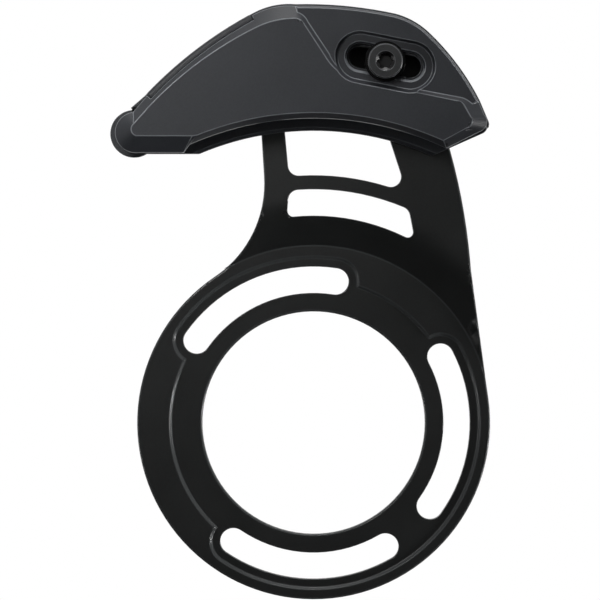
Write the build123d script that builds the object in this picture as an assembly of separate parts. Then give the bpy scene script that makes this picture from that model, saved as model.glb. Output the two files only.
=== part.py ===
# Bicycle chain guide: joggled plate around the crank axis with a two-cheek guide on one slotted screw
# Millimetres; the origin is the crank axis at the ring's rear face, Z is up and depth is measured along -Y
import os
from math import cos, radians, sin, sqrt, tan

from build123d import *

# Ring around the crank
bore_radius = 24.5
bolt_land = 7.0
rim_land = 7.35
bolt_circle_radius = bore_radius + bolt_land
ring_radius = bolt_circle_radius + rim_land
plate_thickness = 3.0
bore_bevel = 0.3
bolt_slot_width = 5.8
upper_slot_span = (81.2, 144.9)
front_slot_span = (-35.6, 27.5)
lower_slot_span = (235.9, 300.1)

# Recessed pad under the bolt heads
pad_depth = 0.6
pad_floor = plate_thickness - pad_depth
pad_slope = 38
pad_margin = 1.8
pad_inset = 0.2
pad_radius = bolt_circle_radius - pad_inset

# Joggle that carries the arm outboard of the ring
joggle_offset = 3.5
joggle_gap = 0.15
joggle_radius = ring_radius + joggle_gap
joggle_angle = 25
joggle_bend = 13.2
arm_rear = joggle_offset
arm_front = joggle_offset + plate_thickness

# Arm and its windows
arm_start_angle = 8
arm_straight = 28.5
arm_root_angle = 104.7
arm_root_round = 24.5
window_land = 6.7
lower_window_height = 5.8
window_rib = 3.05
lower_window_foot = ring_radius + window_land
lower_window_top = lower_window_foot + lower_window_height
upper_window_foot = lower_window_top + window_rib
window_round = 2.3
window_foot_round = 1.2

# Guide in depth: inner wall, chain channel, outer cheek
inner_wall = 2.2
channel_width = 8.3
pocket_web = 1.5
cover_edge = 1.9
shelf_height = 2.9
face_height = 4.0
wall_front = arm_front + inner_wall
parting = wall_front + channel_width
pocket_floor = parting + pocket_web
bevel_foot = parting + cover_edge
shelf_front = parting + shelf_height
face_front = parting + face_height

# Chain path seen from the side; the guide's outlines are set out from the chain's pitch circle
chain_radius = 68.8
inner_skirt_drop = 4.7
outer_skirt_drop = 2.4
face_skirt_drop = 1.3
roof_rise = 5.9
inner_skirt_radius = chain_radius - inner_skirt_drop
outer_skirt_radius = chain_radius - outer_skirt_drop
face_skirt_radius = chain_radius - face_skirt_drop
roof_radius = chain_radius + roof_rise
roof_leave_angle = 100.4
entry_reach = 60.0
roof_wall = 2.0
skirt_bevel = 0.7

# Top edge of the guide from tail to brow and from brow to nose, as angle and height above the pitch circle
shelf_edge = (
    (62.9, 10.2),
    (68.9, 15.9),
    (73.4, 19.7),
    (75.9, 21.3),
    (78.8, 22.1),
    (85.7, 22.3),
    (92.5, 22.5),
)
crown_edge = (
    shelf_edge[-1],
    (95.7, 22.5),
    (98.3, 21.5),
    (107.0, 16.7),
    (117.2, 11.4),
)
cover_inset = 0.5
nose_join_angle = 96

# Ridge of the roof that shows above the outer cheek
ridge_width = 1.4
ridge_height = 1.6
ridge_root = 0.5
ridge_round = 0.9
ridge_gap = 0.15
ridge_span = (118.6, 136.3)
ridge_end_gap = 0.25

# Sliding clamp
clamp_angle = 78.9
clamp_rise = 11.4
slide_reach = 5.2
end_room = 0.3
slide_fit = 0.25
bolt_radius = 2.0
thread_gap = 0.05
boss_slot_width = 4.8
boss_wall = 2.0
rib_thickness = 1.6
rib_height = 40.0
rib_angles = (107.5, 99.8, 92.1)
cover_slot_width = 5.8
cover_slot_bevel = 0.45
pocket_width = 9.9
pocket_draft = 20
shelf_draft = 24
tongue_length = 8.0
tongue_width = 7.0
tongue_round = 0.8
tongue_height = 1.2
groove_depth = 1.5

# Screw and washer
washer_radius = 4.4
washer_thickness = 0.8
washer_hole_radius = 2.2
head_radius = 3.8
head_height = 2.4
head_bevel = 0.25
socket_radius = 1.75
socket_depth = 1.9
lobe_radius = 0.4
countersink_radius = 2.15
countersink_floor_radius = 1.1
countersink_depth = 0.8
tip_reach = 0.5
bolt_tip = arm_rear - tip_reach

# How far a cut runs past the surface it opens
overshoot = 0.2


def on_circle(radius, angle):
    return (radius * cos(radians(angle)), radius * sin(radians(angle)))


def step(point, distance, angle):
    x, z = on_circle(distance, angle)
    return (point[0] + x, point[1] + z)


def guide_at(angle, rise):
    return on_circle(chain_radius + rise, angle)


def slab(face, near, far):
    return extrude(Plane.XZ.offset(near) * face, amount=far - near)


def facing_cone(place, depth, low_radius, high_radius, height):
    base = Plane((place[0], -depth, place[1]), x_dir=(1, 0, 0), z_dir=(0, -1, 0))
    return base * Cone(low_radius, high_radius, height, align=(Align.CENTER, Align.CENTER, Align.MIN))


def at_clamp(shape):
    return Pos(*guide_at(clamp_angle, clamp_rise)) * shape


def along_slide(face):
    return at_clamp(Rot(0, 0, clamp_angle - 90) * face)


def slide_slot(width):
    return along_slide(SlotCenterToCenter(2 * (slide_reach + end_room), width))


def arc_slot(span):
    return SlotArc(CenterArc((0, 0), bolt_circle_radius, span[0], span[1] - span[0]), bolt_slot_width)


def plate_outline():
    start = on_circle(ring_radius, arm_start_angle)
    knee = step(start, arm_straight, arm_start_angle + 90)
    leg_foot = guide_at(63.4, -1.9)
    head_right = guide_at(71.2, 10.4)
    head_top = guide_at(80.8, 18.9)
    head_left = guide_at(94.0, 17.6)
    left_leg = guide_at(99.3, 6.2)
    root = on_circle(ring_radius - 7.4, arm_root_angle + 2.7)
    arm = make_face(
        [
            Line(start, knee),
            ThreePointArc(knee, guide_at(54.8, -11.7), leg_foot),
            Line(leg_foot, head_right),
            ThreePointArc(head_right, guide_at(75.4, 17.0), head_top),
            ThreePointArc(head_top, guide_at(88.0, 19.1), head_left),
            ThreePointArc(head_left, guide_at(97.4, 13.9), left_leg),
            Line(left_leg, root),
            Line(root, start),
        ]
    )
    outline = Circle(ring_radius) + arm
    inner_corner = outline.vertices().sort_by_distance((*on_circle(ring_radius, arm_root_angle), 0))[0]
    return fillet(inner_corner, arm_root_round)


def lower_window():
    left_foot, right_foot = on_circle(lower_window_foot, 97.4), on_circle(lower_window_foot, 60.7)
    left_top, right_top = on_circle(lower_window_top, 96.1), on_circle(lower_window_top, 66.0)
    window = make_face(
        [
            ThreePointArc(right_foot, on_circle(lower_window_foot, 80), left_foot),
            Line(left_foot, left_top),
            ThreePointArc(left_top, on_circle(lower_window_top, 80), right_top),
            Line(right_top, right_foot),
        ]
    )
    window = fillet(window.vertices().sort_by_distance((0, 0, 0))[2:], window_round)
    return fillet(window.vertices().sort_by_distance((0, 0, 0))[:2], window_foot_round)


def upper_window():
    left_foot, right_foot = on_circle(upper_window_foot, 95.7), on_circle(upper_window_foot, 67.8)
    left_top, right_top = guide_at(95.6, 3.5), guide_at(79.2, 4.0)
    peak = guide_at(89.3, 13.0)
    window = make_face(
        [
            ThreePointArc(right_foot, on_circle(upper_window_foot, 80), left_foot),
            Line(left_foot, left_top),
            ThreePointArc(left_top, guide_at(93.7, 11.0), peak),
            ThreePointArc(peak, guide_at(84.3, 10.2), right_top),
            Line(right_top, right_foot),
        ]
    )
    return fillet(window.vertices().sort_by_distance((0, 0, 0))[:2], window_round)


def plate_thickness_body():
    top_radius = joggle_radius + joggle_offset / tan(radians(joggle_angle))
    shift = plate_thickness * tan(radians(joggle_angle / 2))
    reach = 1.5 * chain_radius
    profile = make_face(
        Polyline(
            (0, 0),
            (joggle_radius + shift, 0),
            (top_radius + shift, -arm_rear),
            (reach, -arm_rear),
            (reach, -arm_front),
            (top_radius, -arm_front),
            (joggle_radius, -plate_thickness),
            (0, -plate_thickness),
            close=True,
        )
    )
    outer_bend = profile.vertices().sort_by_distance((top_radius, -arm_front, 0))[0]
    profile = fillet(outer_bend, joggle_bend)
    inner_bend = profile.vertices().sort_by_distance((top_radius + shift, -arm_rear, 0))[0]
    profile = fillet(inner_bend, joggle_bend - plate_thickness)
    return revolve(profile, Axis.Y)


def sloped_disc(radius, place):
    rise = pad_depth + overshoot
    return facing_cone(place, pad_floor, radius, radius + rise * tan(radians(pad_slope)), rise)


def sloped_track(span):
    half = bolt_slot_width / 2 + pad_margin
    rise = pad_depth + overshoot
    spread = rise * tan(radians(pad_slope))
    section = make_face(
        Polyline(
            (bolt_circle_radius - half, -pad_floor),
            (bolt_circle_radius + half, -pad_floor),
            (bolt_circle_radius + half + spread, -pad_floor - rise),
            (bolt_circle_radius - half - spread, -pad_floor - rise),
            close=True,
        )
    )
    turn_axis = Axis((0, 0, 0), (0, -1, 0))
    track = revolve(section, turn_axis, span[1] - span[0]).rotate(turn_axis, span[0])
    for angle in span:
        track += sloped_disc(half, on_circle(bolt_circle_radius, angle))
    return track


def pad_recess():
    lower_span = (lower_slot_span[0], front_slot_span[1] + 360)
    return sloped_disc(pad_radius, (0, 0)) + sloped_track(upper_slot_span) + sloped_track(lower_span)


def build_back_plate():
    outline = plate_outline() - lower_window() - upper_window()
    plate = plate_thickness_body() & slab(outline, -overshoot, arm_front + overshoot)
    plate -= pad_recess()
    for span in (upper_slot_span, front_slot_span, lower_slot_span):
        plate -= slab(arc_slot(span), -overshoot, arm_front)
    plate -= slab(Circle(bore_radius), -overshoot, arm_front)
    rim_depth = bore_bevel + overshoot
    plate -= facing_cone((0, 0), pad_floor - bore_bevel, bore_radius, bore_radius + rim_depth, rim_depth)
    tongue = along_slide(RectangleRounded(tongue_length, tongue_width, tongue_round))
    plate += slab(tongue, arm_front, arm_front + tongue_height)
    plate -= slab(at_clamp(Circle(bolt_radius + thread_gap)), 0, 2 * arm_front)
    return plate


def top_arcs(edge, inset):
    points = [guide_at(angle, rise - inset) for angle, rise in edge]
    return [ThreePointArc(*points[i : i + 3]) for i in range(0, len(points) - 2, 2)]


def inner_outline():
    nose = guide_at(121.8, 5.8)
    nose_radius = 5.2
    nose_drop = 4.4
    foot_z = nose[1] - nose_drop
    nose_foot = (nose[0] + sqrt(nose_radius**2 - nose_drop**2), foot_z)
    nose_top = step(nose, nose_radius, nose_join_angle)
    skirt_left = (-sqrt(inner_skirt_radius**2 - foot_z**2), foot_z)
    skirt_right = on_circle(inner_skirt_radius, 66.1)
    tail = guide_at(59.0, 6.1)
    roof = top_arcs(shelf_edge, 0) + top_arcs(crown_edge, 0)
    outline = make_face(
        [
            ThreePointArc(nose_top, step(nose, nose_radius, 180), nose_foot),
            Line(nose_foot, skirt_left),
            ThreePointArc(skirt_left, (0, inner_skirt_radius), skirt_right),
            Line(skirt_right, tail),
            Line(tail, roof[0] @ 0),
            *roof,
            Line(roof[-1] @ 1, nose_top),
        ]
    )
    corner = outline.vertices().sort_by_distance((*tail, 0))[0]
    return fillet(corner, 1.8)


def chain_space():
    leave = on_circle(roof_radius, roof_leave_angle)
    entry = step(leave, entry_reach, roof_leave_angle + 90)
    return make_face(
        [
            ThreePointArc((roof_radius, 0), on_circle(roof_radius, 60), leave),
            Line(leave, entry),
            Line(entry, (entry[0], 0)),
            Line((entry[0], 0), (roof_radius, 0)),
        ]
    )


def crown_band(inner_step, outer_step, span):
    crown = top_arcs(crown_edge, 0)[-1]
    inner, outer = crown.radius + inner_step, crown.radius + outer_step
    band = make_face(
        [
            CenterArc((0, 0), outer, span[0], span[1] - span[0]),
            Line(on_circle(outer, span[1]), on_circle(inner, span[1])),
            CenterArc((0, 0), inner, span[0], span[1] - span[0]),
            Line(on_circle(inner, span[0]), on_circle(outer, span[0])),
        ]
    )
    return Pos(crown.arc_center.X, crown.arc_center.Y) * band


def roof_ridge():
    ridge = slab(crown_band(-ridge_width, 0, ridge_span), parting - ridge_root, parting + ridge_height)
    front_edges = ridge.edges().filter_by(GeomType.CIRCLE).group_by(Axis.Y)[0]
    crest = front_edges.sort_by(lambda e: e.radius)[-1]
    return fillet(crest, ridge_round)


def build_inner_cheek():
    outline = inner_outline()
    cheek = slab(outline, arm_front, wall_front)
    roof = outline - chain_space()
    cheek += slab(roof, wall_front, parting)
    hollow = offset(roof, -roof_wall) - slide_slot(boss_slot_width + 2 * boss_wall)
    for angle in rib_angles:
        hollow -= Pos(*guide_at(angle, clamp_rise)) * Rectangle(rib_thickness, rib_height)
    cheek -= slab(hollow, wall_front, parting)
    arcs = cheek.edges().filter_by(GeomType.CIRCLE)
    skirt_edges = arcs.filter_by(lambda e: abs(e.radius - inner_skirt_radius) < 0.01)
    cheek = chamfer(skirt_edges.sort_by(Axis.Y)[0], skirt_bevel)
    cheek += roof_ridge()
    cheek -= slab(slide_slot(boss_slot_width), 0, parting + overshoot)
    groove_length = tongue_length + 2 * (slide_reach + end_room)
    groove = along_slide(RectangleRounded(groove_length, tongue_width + 2 * slide_fit, tongue_round))
    cheek -= slab(groove, 0, arm_front + groove_depth)
    return cheek


def outer_foot_outline():
    nose = guide_at(121.4, 5.4)
    nose_radius = 4.4
    nose_foot = step(nose, nose_radius, 270)
    nose_top = step(nose, nose_radius, nose_join_angle)
    skirt_left = on_circle(outer_skirt_radius, 113.9)
    skirt_right = on_circle(outer_skirt_radius, 64.4)
    heel = (skirt_left[0] - 1.3, nose_foot[1])
    tail_low, tail_high = guide_at(60.3, 4.5), guide_at(61.2, 7.8)
    ledge_right, ledge_left = guide_at(65.0, 9.9), guide_at(83.7, 7.3)
    wall_low, wall_high = guide_at(87.2, 12.2), guide_at(90.5, 19.1)
    roof_tail = top_arcs(shelf_edge, cover_inset)[0] @ 0
    crown = top_arcs(crown_edge, cover_inset)
    return [
        Line(nose_foot, heel),
        Line(heel, skirt_left),
        ThreePointArc(skirt_left, (0, outer_skirt_radius), skirt_right),
        Line(skirt_right, tail_low),
        ThreePointArc(tail_low, guide_at(60.1, 6.4), tail_high),
        Line(tail_high, roof_tail),
        Line(roof_tail, ledge_right),
        Line(ledge_right, ledge_left),
        ThreePointArc(ledge_left, guide_at(85.6, 8.8), wall_low),
        Line(wall_low, wall_high),
        ThreePointArc(wall_high, guide_at(91.3, 20.9), crown[0] @ 0),
        *crown,
        Line(crown[-1] @ 1, nose_top),
        ThreePointArc(nose_top, step(nose, nose_radius, 180), nose_foot),
    ]


def face_outline():
    nose_foot, nose_top = guide_at(121.6, 4.6), guide_at(120.9, 7.1)
    heel = guide_at(112.8, -1.0)
    skirt_left = on_circle(face_skirt_radius, 111.9)
    skirt_right = on_circle(face_skirt_radius, 65.5)
    tail_low, tail_high = guide_at(62.8, 3.3), guide_at(63.1, 6.0)
    shoulder = guide_at(64.6, 7.4)
    ledge_right, ledge_left = guide_at(66.3, 7.8), guide_at(83.8, 6.5)
    wall_low, wall_high = guide_at(88.3, 11.1), guide_at(91.3, 17.7)
    roof_brow, roof_bend, roof_nose = guide_at(92.7, 19.2), guide_at(98.4, 18.0), guide_at(117.9, 8.5)
    return [
        Line(nose_foot, heel),
        Line(heel, skirt_left),
        ThreePointArc(skirt_left, (0, face_skirt_radius), skirt_right),
        Line(skirt_right, tail_low),
        ThreePointArc(tail_low, guide_at(62.4, 5.0), tail_high),
        Line(tail_high, shoulder),
        ThreePointArc(shoulder, guide_at(65.4, 7.9), ledge_right),
        Line(ledge_right, ledge_left),
        ThreePointArc(ledge_left, guide_at(86.4, 8.2), wall_low),
        Line(wall_low, wall_high),
        ThreePointArc(wall_high, guide_at(91.9, 18.8), roof_brow),
        ThreePointArc(roof_brow, guide_at(95.6, 19.0), roof_bend),
        ThreePointArc(roof_bend, guide_at(108.2, 13.2), roof_nose),
        Line(roof_nose, nose_top),
        ThreePointArc(nose_top, guide_at(121.8, 6.1), nose_foot),
    ]


def shelf_outline():
    roof = top_arcs(shelf_edge, cover_inset)
    under_brow, under_tail = guide_at(92.9, 11.4), guide_at(65.7, 3.8)
    return make_face(
        [
            *roof,
            Line(roof[-1] @ 1, under_brow),
            Line(under_brow, under_tail),
            Line(under_tail, roof[0] @ 0),
        ]
    )


def build_outer_cheek():
    foot = make_face(outer_foot_outline())
    face = make_face(face_outline())
    shelf = shelf_outline()
    cheek = slab(foot + shelf, parting, bevel_foot)
    cheek += loft([Plane.XZ.offset(bevel_foot) * foot, Plane.XZ.offset(face_front) * face], ruled=True)
    cheek += extrude(Plane.XZ.offset(bevel_foot) * shelf, amount=shelf_front - bevel_foot, taper=shelf_draft)
    pocket = Plane.XZ.offset(pocket_floor) * slide_slot(pocket_width)
    cheek -= extrude(pocket, amount=face_front, taper=-pocket_draft)
    ridge_room = (ridge_span[0] - ridge_end_gap, ridge_span[1] + ridge_end_gap)
    cheek -= slab(crown_band(-ridge_width - ridge_gap, 2 * ridge_width, ridge_room), 0, face_front)
    cheek -= slab(slide_slot(cover_slot_width), 0, face_front)
    slot_rim = Plane.XZ.offset(pocket_floor - cover_slot_bevel) * slide_slot(cover_slot_width)
    cheek -= extrude(slot_rim, amount=cover_slot_bevel, taper=-45)
    return cheek


def build_bolt_washer():
    ring = Circle(washer_radius) - Circle(washer_hole_radius)
    return slab(at_clamp(ring), pocket_floor, pocket_floor + washer_thickness)


def build_clamp_bolt():
    head_rear = pocket_floor + washer_thickness
    head_front = head_rear + head_height
    head = slab(at_clamp(Circle(head_radius)), head_rear, head_front)
    head = chamfer(head.edges().sort_by(Axis.Y)[0], head_bevel)
    socket_core = socket_radius - lobe_radius
    lobes = Circle(socket_core) + PolarLocations(socket_core, 6) * Circle(lobe_radius)
    head -= slab(at_clamp(lobes), head_front - socket_depth, head_front)
    clamp = guide_at(clamp_angle, clamp_rise)
    entry_floor = head_front - countersink_depth
    head -= facing_cone(clamp, entry_floor, countersink_floor_radius, countersink_radius, countersink_depth)
    return head + slab(at_clamp(Circle(bolt_radius)), bolt_tip, head_rear)


def export_parts():
    os.makedirs("parts", exist_ok=True)
    export_step(build_back_plate(), "parts/back_plate.step")
    export_step(build_inner_cheek(), "parts/inner_cheek.step")
    export_step(build_outer_cheek(), "parts/outer_cheek.step")
    export_step(build_bolt_washer(), "parts/bolt_washer.step")
    export_step(build_clamp_bolt(), "parts/clamp_bolt.step")


export_parts()
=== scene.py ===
# Bicycle chain guide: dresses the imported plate, cheeks, washer and screw for a studio picture
import math

import bmesh
import bpy
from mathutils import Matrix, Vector
from mathutils.kdtree import KDTree


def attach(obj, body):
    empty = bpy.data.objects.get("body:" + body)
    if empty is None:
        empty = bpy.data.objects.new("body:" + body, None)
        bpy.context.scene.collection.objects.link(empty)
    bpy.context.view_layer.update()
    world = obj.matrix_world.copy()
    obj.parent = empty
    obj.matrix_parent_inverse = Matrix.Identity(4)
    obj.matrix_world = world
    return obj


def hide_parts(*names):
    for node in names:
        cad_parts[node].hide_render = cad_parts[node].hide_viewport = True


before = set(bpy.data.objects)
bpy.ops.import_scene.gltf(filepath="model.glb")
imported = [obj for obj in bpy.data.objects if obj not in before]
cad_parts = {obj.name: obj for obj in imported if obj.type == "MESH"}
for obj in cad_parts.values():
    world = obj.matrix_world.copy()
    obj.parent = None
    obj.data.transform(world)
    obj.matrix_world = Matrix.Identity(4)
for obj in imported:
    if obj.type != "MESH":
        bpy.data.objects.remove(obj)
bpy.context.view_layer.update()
scene = bpy.context.scene
scene.view_settings.view_transform = "Standard"
mm = 0.001
white = (1.0, 1.0, 1.0, 1.0)
print("frame loaded:", sorted(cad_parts))

# the clamp screw's axis and the front of its head, in millimetres, for the marks around it
screwPoints = [corner.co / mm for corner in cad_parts["clamp_bolt"].data.vertices]
screwLow = [min(point[i] for point in screwPoints) for i in range(3)]
screwHigh = [max(point[i] for point in screwPoints) for i in range(3)]
clampAcross = (screwLow[0] + screwHigh[0]) / 2
clampUp = (screwLow[2] + screwHigh[2]) / 2
headFront = screwLow[1]


def hexColour(code):  # sRGB hex to the linear colour that the shader wants
    parts = [int(code[i:i + 2], 16) / 255 for i in (1, 3, 5)]
    return tuple(p / 12.92 if p <= 0.04045 else ((p + 0.055) / 1.055) ** 2.4 for p in parts) + (1.0,)


def addNode(tree, kind, settings=None, inputs=None):
    node = tree.nodes.new(kind)
    for name, value in (settings or {}).items():
        setattr(node, name, value)
    for name, value in (inputs or {}).items():
        if isinstance(value, bpy.types.NodeSocket):
            tree.links.new(value, node.inputs[name])
        else:
            node.inputs[name].default_value = value
    return node


def startMaterial(name):
    material = bpy.data.materials.new(name)
    material.use_nodes = True
    material.node_tree.nodes.clear()
    return material, material.node_tree


# how the two noises of every finish are drawn, and the stretch of their values that is used
grainNoise = {"detail": 3.0, "roughness": 0.6, "low": 0.35, "high": 0.65}
blotchNoise = {"detail": 4.0, "roughness": 0.55, "low": 0.3, "high": 0.7}


def finishSurface(name, look):
    # grain, blotch and a lighter edge over one base colour; the lighter edge is partly wear and partly
    # painted highlight
    material, tree = startMaterial(name)
    place = addNode(tree, "ShaderNodeTexCoord").outputs["Object"]
    grain = addNode(tree, "ShaderNodeTexNoise", None, {
        "Vector": place, "Scale": 1 / (look["grainMm"] * mm),
        "Detail": grainNoise["detail"], "Roughness": grainNoise["roughness"]}).outputs["Fac"]
    blotch = addNode(tree, "ShaderNodeTexNoise", None, {
        "Vector": place, "Scale": 1 / (look["blotchMm"] * mm),
        "Detail": blotchNoise["detail"], "Roughness": blotchNoise["roughness"]}).outputs["Fac"]
    edge = addNode(tree, "ShaderNodeAttribute", {"attribute_name": "edgeWearAndHighlight"}).outputs["Fac"]

    # colour: two close tones in patches, specks over them, then the edges painted lighter, as wear and as
    # painted highlight
    patch = addNode(tree, "ShaderNodeMapRange", None, {
        "Value": blotch, "From Min": blotchNoise["low"], "From Max": blotchNoise["high"],
        "To Min": 0.0, "To Max": 1.0})
    base = addNode(tree, "ShaderNodeMix", {"data_type": "RGBA"}, {
        "Factor": patch.outputs["Result"], "A": hexColour(look["dark"]), "B": hexColour(look["light"])})
    speck = addNode(tree, "ShaderNodeMapRange", None, {
        "Value": grain, "From Min": grainNoise["low"], "From Max": grainNoise["high"],
        "To Min": 0.0, "To Max": look["speck"]})
    grained = addNode(tree, "ShaderNodeMix", {"data_type": "RGBA"}, {
        "Factor": speck.outputs["Result"], "A": base.outputs["Result"], "B": hexColour(look["speckColour"])})
    # broken edges and marked spots get a lighter tone: partly wear, partly painted highlight
    edgeLightening = addNode(tree, "ShaderNodeMath", {"operation": "MULTIPLY"}, {0: edge, 1: look["wornAndLitShare"]})
    colour = addNode(tree, "ShaderNodeMix", {"data_type": "RGBA"}, {
        "Factor": edgeLightening.outputs["Value"], "A": grained.outputs["Result"], "B": hexColour(look["wornAndLitTone"])})
    # painted shade inside the screw's socket
    if "paintedSocketShade" in look:
        depth = addNode(tree, "ShaderNodeAttribute", {"attribute_name": "socketShadeMask"})
        colour = addNode(tree, "ShaderNodeMix", {"data_type": "RGBA"}, {
            "Factor": depth.outputs["Fac"], "A": colour.outputs["Result"],
            "B": hexColour(look["paintedSocketShade"]["colour"])})

    # gloss: a little uneven on the faces, smoother on the broken edges and the marked spots
    satin = addNode(tree, "ShaderNodeMapRange", None, {
        "Value": blotch, "From Min": blotchNoise["low"], "From Max": blotchNoise["high"],
        "To Min": look["roughness"] - look["roughnessSpread"],
        "To Max": look["roughness"] + look["roughnessSpread"]})
    polish = addNode(tree, "ShaderNodeMix", {"data_type": "FLOAT"}, {
        "Factor": edge, "A": satin.outputs["Result"], "B": look["edgeRoughness"]})
    relief = addNode(tree, "ShaderNodeBump", None, {
        "Strength": look["bump"], "Distance": look["bumpMm"] * mm, "Height": grain})
    shader = addNode(tree, "ShaderNodeBsdfPrincipled", None, {
        "Base Color": colour.outputs["Result"], "Roughness": polish.outputs["Result"],
        "Normal": relief.outputs["Normal"], "Metallic": look["metallic"],
        "IOR": look["ior"], "Specular IOR Level": look["specular"]})
    addNode(tree, "ShaderNodeOutputMaterial", None, {"Surface": shader.outputs["BSDF"]})
    return material


# a rim edge lies between a face turned to the viewer and one turned away (the normals' y)
rimTurn = {"toward": -0.6, "away": -0.3}
# points set along the sharp edges, and how many bevel widths from them a bevelled corner may lie
ridgeCare = {"stepMm": 0.1, "widths": 1.55}


def frontRim(sharpEdges):
    # the longest run of sharp edges that borders the faces turned to the viewer
    front = {edge for edge in sharpEdges
             if min(face.normal.y for face in edge.link_faces) < rimTurn["toward"]
             and max(face.normal.y for face in edge.link_faces) > rimTurn["away"]}
    runs = []
    while front:
        run, reached = set(), [front.pop()]
        while reached:
            edge = reached.pop()
            run.add(edge)
            for near in {e for v in edge.verts for e in v.link_edges} & front:
                front.discard(near)
                reached.append(near)
        runs.append(run)
    return max(runs, key=lambda run: sum(edge.calc_length() for edge in run), default=set())


def weighEdges(shape, look):
    # gives each sharp edge its share of the rim's width, and returns points along them with that share
    breadth = shape.edges.layers.float.new("bevel_weight_edge")
    crease = math.radians(look["creaseDeg"])
    sharpEdges = [edge for edge in shape.edges if edge.calc_face_angle(0) > crease]
    for edge in sharpEdges:
        edge.smooth = False
        edge[breadth] = look["bevelMm"] / look["rimMm"]
    for edge in frontRim(sharpEdges):
        edge[breadth] = 1.0
    ridge = []
    for edge in sharpEdges:
        steps = max(1, round(edge.calc_length() / (ridgeCare["stepMm"] * mm)))
        start, end = (corner.co for corner in edge.verts)
        ridge += [(start.lerp(end, i / steps), edge[breadth]) for i in range(steps + 1)]
    return ridge


def bevelledMesh(piece, look):
    bevel = piece.modifiers.new("brokenEdges", "BEVEL")
    bevel.width = look["rimMm"] * mm
    bevel.segments = look["bevelSteps"]
    bevel.limit_method = "WEIGHT"
    bevel.harden_normals = True
    bevel.use_clamp_overlap = False
    bevel.miter_outer = "MITER_ARC"
    bevel.material = 1  # the second material place
    mesh = bpy.data.meshes.new_from_object(piece.evaluated_get(bpy.context.evaluated_depsgraph_get()))
    piece.modifiers.clear()
    return mesh


def pullBack(mesh, ridge, look):
    # a corner that its bevel has thrown off goes back to the edge it came from
    nearRidge = KDTree(len(ridge))
    for i, (point, share) in enumerate(ridge):
        nearRidge.insert(point, i)
    nearRidge.balance()
    for corner in {v for face in mesh.polygons if face.material_index for v in face.vertices}:
        point, i, gap = nearRidge.find(mesh.vertices[corner].co)
        if gap > ridgeCare["widths"] * ridge[i][1] * look["rimMm"] * mm:
            mesh.vertices[corner].co = point


def isNear(face, spot):  # seen from the front
    return math.hypot(face.center.x / mm - spot["across"], face.center.z / mm - spot["up"]) < spot["reach"]


def markFaces(mesh, look):
    # what the finish reads from each face: 1 on a broken edge or a spot of painted highlight, and 1 inside
    # the screw's socket, where shade is painted
    for name in ("edgeWearAndHighlight", "socketShadeMask"):
        mesh.attributes.new(name, "FLOAT", "FACE")
    wearAndHighlight = mesh.attributes["edgeWearAndHighlight"].data
    shadedInSocket = mesh.attributes["socketShadeMask"].data
    for face in mesh.polygons:
        # bevel faces: the lighter edge tone, as wear and as painted highlight
        wearAndHighlight[face.index].value = face.material_index
        face.material_index = 0
        # spots of painted highlight: faces near a point, turned a given way, get the lighter edge tone
        if "wearAndHighlight" in look:
            spot = look["wearAndHighlight"]
            leaning = spot["leanLow"] < face.normal.y < spot["leanHigh"]
            if isNear(face, spot) and leaning and face.normal.z > spot["rise"]:
                wearAndHighlight[face.index].value = 1.0
        # faces of the socket behind the head's front get the painted shade
        if "paintedSocketShade" in look:
            spot = look["paintedSocketShade"]
            shadedInSocket[face.index].value = float(isNear(face, spot) and face.center.y / mm > spot["depth"])


def dressPiece(node, name, body, material, look):
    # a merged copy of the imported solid, with every sharp edge broken
    piece = bpy.data.objects.new(name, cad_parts[node].data.copy())
    scene.collection.objects.link(piece)
    shape = bmesh.new()
    shape.from_mesh(piece.data)
    bmesh.ops.remove_doubles(shape, verts=shape.verts, dist=look["mergeMm"] * mm)
    if look["mergeDeg"]:  # flat faces are made whole again
        flat = math.radians(look["mergeDeg"])
        bmesh.ops.dissolve_limit(shape, angle_limit=flat, verts=shape.verts, edges=shape.edges)
    for face in shape.faces:
        face.smooth = True
    ridge = weighEdges(shape, look)
    shape.to_mesh(piece.data)
    shape.free()
    if "custom_normal" in piece.data.attributes:
        piece.data.attributes.remove(piece.data.attributes["custom_normal"])
    piece.data.materials.clear()
    piece.data.materials.append(material)
    piece.data.materials.append(material)  # this second place only tells the bevel's faces from the rest
    finished = bevelledMesh(piece, look)
    piece.data = finished
    pullBack(finished, ridge, look)
    markFaces(finished, look)
    finished.materials.pop()
    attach(piece, body)
    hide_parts(node)
    print("dressed", name, len(finished.polygons), "faces")


backPlate = {
    "grainMm": 0.35,  # blasting grit, drawn coarser than the real 0.1 mm so that it shows
    "blotchMm": 14.0,  # patches where the dye took a little more or less
    "dark": "#1f2020", "light": "#252626", "speck": 0.30, "speckColour": "#2f3131",
    "wornAndLitTone": "#6c6f70", "wornAndLitShare": 0.45, "edgeRoughness": 0.22,
    # painted highlight on the walls of the recess and the bore's rim, around the crank axis, also drawn
    # smoother as machined walls
    "wearAndHighlight": {"across": 0.0, "up": 0.0, "reach": 37.6, "leanLow": -0.95, "leanHigh": -0.5, "rise": -1.0},
    "roughness": 0.40, "roughnessSpread": 0.04, "metallic": 0.0, "ior": 1.5, "specular": 0.5,
    "bump": 0.12, "bumpMm": 0.05,
    "mergeMm": 0.03, "mergeDeg": 0.1,
    "creaseDeg": 14, "bevelMm": 0.2, "rimMm": 0.42, "bevelSteps": 4,  # the front rim is broken wider
}
# blasted and black-anodised aluminium: nearly black, a soft satin sheen, fine grit, and edges painted
# lighter as wear and as highlight
anodisedAluminium = finishSurface("blackAnodisedAluminium", backPlate)
dressPiece("back_plate", "backPlate", "plate", anodisedAluminium, backPlate)

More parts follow.
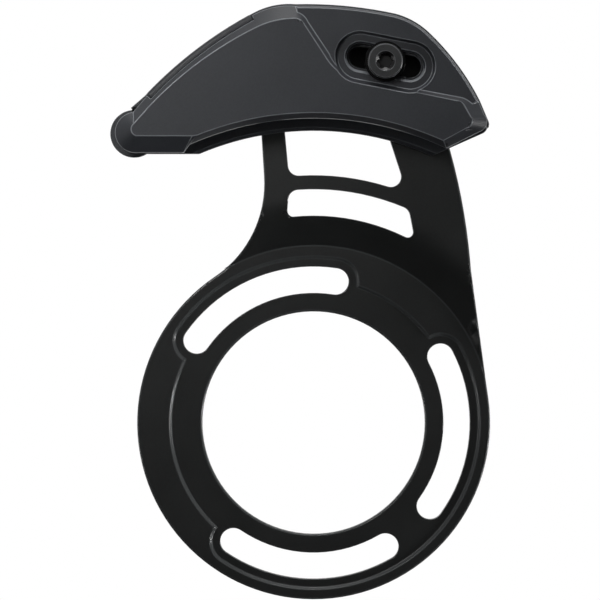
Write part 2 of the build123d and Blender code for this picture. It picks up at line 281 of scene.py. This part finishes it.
innerCheek = {
    "grainMm": 0.40,  # glass fibres near the skin, drawn coarser so that they show
    "blotchMm": 9.0,
    "dark": "#2c2e32", "light": "#313337", "speck": 0.3, "speckColour": "#3c3f43",
    "wornAndLitTone": "#6a6e72", "wornAndLitShare": 0.6, "edgeRoughness": 0.2,
    "roughness": 0.46, "roughnessSpread": 0.05, "metallic": 0.0, "ior": 1.5, "specular": 0.5,
    "bump": 0.18, "bumpMm": 0.05,
    "mergeMm": 0.03, "mergeDeg": 0.0,
    "creaseDeg": 18, "bevelMm": 0.12, "rimMm": 0.12, "bevelSteps": 3,
}
# glass-filled nylon straight from the mould: dull black with a faint grain, and edges painted lighter as
# highlight
filledNylon = finishSurface("glassFilledNylon", innerCheek)
dressPiece("inner_cheek", "innerCheek", "guide", filledNylon, innerCheek)

outerCheek = {
    "grainMm": 0.32,  # spark-eroded mould texture, drawn coarser than the real 0.08 mm
    "blotchMm": 11.0,
    "dark": "#33353a", "light": "#383a3f", "speck": 0.3, "speckColour": "#43464a",
    "wornAndLitTone": "#a6aaaf", "wornAndLitShare": 0.6, "edgeRoughness": 0.25,
    # painted highlight on the lower rim of the slot, where the light from above catches it
    "wearAndHighlight": {"across": clampAcross, "up": clampUp, "reach": 12.0,
               "leanLow": -0.75, "leanHigh": -0.66, "rise": 0.1},
    "roughness": 0.48, "roughnessSpread": 0.05, "metallic": 0.0, "ior": 1.5, "specular": 0.5,
    "bump": 0.2, "bumpMm": 0.05,
    "mergeMm": 0.03, "mergeDeg": 0.0,
    "creaseDeg": 20, "bevelMm": 0.14, "rimMm": 0.14, "bevelSteps": 3,
}
# textured nylon cover: blue-grey black, matt on its faces and polished along its edges, which are painted
# lighter as wear and as highlight
texturedNylon = finishSurface("texturedNylon", outerCheek)
dressPiece("outer_cheek", "outerCheek", "guide", texturedNylon, outerCheek)

boltWasher = {
    "grainMm": 0.25, "blotchMm": 3.0,
    "dark": "#040404", "light": "#070707", "speck": 0.2, "speckColour": "#0d0d0d",
    "wornAndLitTone": "#202224", "wornAndLitShare": 0.3, "edgeRoughness": 0.2,
    "roughness": 0.55, "roughnessSpread": 0.05, "metallic": 0.0, "ior": 1.5,
    "specular": 0.15,  # the oxide soaks up most of the light
    "bump": 0.1, "bumpMm": 0.02,
    "mergeMm": 0.01, "mergeDeg": 0.1,
    "creaseDeg": 25, "bevelMm": 0.08, "rimMm": 0.08, "bevelSteps": 2,
}
# black-oxide spring steel: deep black with a thin rim painted lighter, as wear and as highlight
oxideWasher = finishSurface("blackOxideWasherSteel", boltWasher)
dressPiece("bolt_washer", "boltWasher", "plate", oxideWasher, boltWasher)

clampBolt = {
    "grainMm": 0.22, "blotchMm": 2.5,
    "dark": "#313233", "light": "#38393a", "speck": 0.25, "speckColour": "#424446",
    "wornAndLitTone": "#8c8f92", "wornAndLitShare": 0.6, "edgeRoughness": 0.2,
    # painted shade darkens the socket, from just behind the head's front
    "paintedSocketShade": {"across": clampAcross, "up": clampUp, "reach": 2.1, "depth": headFront + 0.08,
               "colour": "#0d0d0e"},
    "roughness": 0.40, "roughnessSpread": 0.06, "metallic": 0.0, "ior": 1.5, "specular": 0.5,
    "bump": 0.1, "bumpMm": 0.02,
    "mergeMm": 0.01, "mergeDeg": 0.1,
    "creaseDeg": 25, "bevelMm": 0.06, "rimMm": 0.06, "bevelSteps": 2,
}
# black-oxide screw steel: dark grey head with a chamfer and socket rim painted lighter, as wear and as
# highlight, and painted shade inside the socket
oxideScrew = finishSurface("blackOxideScrewSteel", clampBolt)
dressPiece("clamp_bolt", "clampBolt", "plate", oxideScrew, clampBolt)

studio = {
    "floorDrop": 0.50, "floorHalf": 1.5, "floorColour": "#d9d9d9",  # metres
    "nearWhite": 0.75, "nearReach": 0.1, "farReach": 1.2,  # the floor turns white away from the object
    "floorRear": (0.2, 0.9),  # metres behind the object over which mirrored floor turns white
    "skyRear": (-0.05, 0.35),  # the same for the sky, by how far a ray points to the rear
    "skyRise": (-0.2, 0.2),  # the room's glow begins here, by how far a ray points up
    "frontGlow": 0.25,  # what polished faces see of the room in front, at eye level and above
    "ambient": 0.012,  # even light that fills every shadow
    # name, place, aim, width and height in metres, then the beam in degrees and the watts
    "lamps": [
        ("keySoftbox", (-0.12, -0.28, 0.17), (-0.045, -0.015, 0.085), 0.08, 0.08, 46, 0.0235),
        ("topStrip", (0.0, -0.12, 0.38), (0.0, -0.02, 0.07), 0.5, 0.08, 60, 0.12),
        ("rightStrip", (0.45, -0.10, -0.10), (-0.03, 0.0, -0.02), 0.05, 0.3, 30, 0.065),
        ("leftStrip", (-0.45, -0.10, -0.10), (0.03, 0.0, -0.02), 0.05, 0.3, 30, 0.018),
        ("lowSoftbox", (0.22, -0.14, -0.22), (0.01, 0.0, 0.0), 0.12, 0.12, 120, 0.008),
    ],
}


def backgroundShare(tree, cameraShare, mirrorShare):
    # how much of the white background a ray sees: one share for the camera, one for mirrors and glass
    rays = addNode(tree, "ShaderNodeLightPath")
    mirrored = addNode(tree, "ShaderNodeMath", {"operation": "MAXIMUM"}, {
        0: rays.outputs["Is Glossy Ray"], 1: rays.outputs["Is Transmission Ray"]})
    direct = addNode(tree, "ShaderNodeMath", {"operation": "MULTIPLY"}, {
        0: rays.outputs["Is Camera Ray"], 1: cameraShare})
    behind = addNode(tree, "ShaderNodeMath", {"operation": "MULTIPLY"}, {
        0: mirrored.outputs["Value"], 1: mirrorShare})
    return addNode(tree, "ShaderNodeMath", {"operation": "MAXIMUM"}, {
        0: direct.outputs["Value"], 1: behind.outputs["Value"]}).outputs["Value"]


def buildFloor():
    material, tree = startMaterial("paleStudioPaper")
    place = addNode(tree, "ShaderNodeTexCoord").outputs["Object"]
    reach = addNode(tree, "ShaderNodeVectorMath", {"operation": "LENGTH"}, {0: place})
    depth = addNode(tree, "ShaderNodeSeparateXYZ", None, {"Vector": place})
    reachFade = addNode(tree, "ShaderNodeMapRange", {"interpolation_type": "SMOOTHSTEP"}, {
        "Value": reach.outputs["Value"], "From Min": studio["nearReach"], "From Max": studio["farReach"],
        "To Min": studio["nearWhite"], "To Max": 1.0})
    rearStart, rearEnd = studio["floorRear"]
    rearFade = addNode(tree, "ShaderNodeMapRange", {"interpolation_type": "SMOOTHSTEP"}, {
        "Value": depth.outputs["Y"], "From Min": rearStart, "From Max": rearEnd,
        "To Min": 0.0, "To Max": 1.0})
    share = backgroundShare(tree, reachFade.outputs["Result"], rearFade.outputs["Result"])
    paper = addNode(tree, "ShaderNodeBsdfDiffuse", None, {"Color": hexColour(studio["floorColour"])})
    glow = addNode(tree, "ShaderNodeEmission", None, {"Color": white, "Strength": 1.0})
    blend = addNode(tree, "ShaderNodeMixShader", None, {
        "Fac": share, 1: paper.outputs["BSDF"], 2: glow.outputs["Emission"]})
    addNode(tree, "ShaderNodeOutputMaterial", None, {"Surface": blend.outputs["Shader"]})
    half = studio["floorHalf"]
    level = -studio["floorDrop"]
    corners = [(-half, -half, level), (half, -half, level), (half, half, level), (-half, half, level)]
    mesh = bpy.data.meshes.new("studioFloor")
    mesh.from_pydata(corners, [], [(0, 1, 2, 3)])
    mesh.materials.append(material)
    floor = bpy.data.objects.new("studioFloor", mesh)
    scene.collection.objects.link(floor)


def buildWorld():
    world = bpy.data.worlds.new("studioWorld")
    scene.world = world
    world.use_nodes = True
    tree = world.node_tree
    tree.nodes.clear()
    toward = addNode(tree, "ShaderNodeSeparateXYZ", None, {
        "Vector": addNode(tree, "ShaderNodeTexCoord").outputs["Generated"]})
    rearStart, rearEnd = studio["skyRear"]
    rearFade = addNode(tree, "ShaderNodeMapRange", {"interpolation_type": "SMOOTHSTEP"}, {
        "Value": toward.outputs["Y"], "From Min": rearStart, "From Max": rearEnd,
        "To Min": 0.0, "To Max": 1.0})
    riseStart, riseEnd = studio["skyRise"]
    frontRise = addNode(tree, "ShaderNodeMapRange", {"interpolation_type": "SMOOTHSTEP"}, {
        "Value": toward.outputs["Z"], "From Min": riseStart, "From Max": riseEnd,
        "To Min": 0.0, "To Max": studio["frontGlow"]})
    mirrorShare = addNode(tree, "ShaderNodeMath", {"operation": "MAXIMUM"}, {
        0: rearFade.outputs["Result"], 1: frontRise.outputs["Result"]})
    share = backgroundShare(tree, 1.0, mirrorShare.outputs["Value"])
    level = addNode(tree, "ShaderNodeMath", {"operation": "MAXIMUM"}, {0: share, 1: studio["ambient"]})
    sky = addNode(tree, "ShaderNodeBackground", None, {"Color": white, "Strength": level.outputs["Value"]})
    addNode(tree, "ShaderNodeOutputWorld", None, {"Surface": sky.outputs["Background"]})


def buildLamps():
    for name, place, aim, width, height, beam, watts in studio["lamps"]:
        light = bpy.data.lights.new(name, "AREA")
        light.shape = "RECTANGLE"
        light.size = width
        light.size_y = height
        light.spread = math.radians(beam)
        light.energy = watts
        lamp = bpy.data.objects.new(name, light)
        lamp.location = place
        lamp.rotation_euler = (Vector(aim) - Vector(place)).to_track_quat("-Z", "Y").to_euler()
        lamp.visible_camera = False
        scene.collection.objects.link(lamp)


buildFloor()
buildWorld()
buildLamps()
print("studio built:", len(studio["lamps"]), "lamps")

# straight at the front from a metre away, level with the middle of the part
viewpoint = {"place": (-0.0030, -1.003, 0.02703), "tiltDeg": 90.0, "sensorMm": 36.0, "lensMm": 272.73}
lens = bpy.data.cameras.new("photoCamera")
lens.sensor_width = viewpoint["sensorMm"]
lens.lens = viewpoint["lensMm"]
camera = bpy.data.objects.new("photoCamera", lens)
camera.location = viewpoint["place"]
camera.rotation_euler = (math.radians(viewpoint["tiltDeg"]), 0.0, 0.0)
scene.collection.objects.link(camera)
scene.camera = camera
print("camera set")
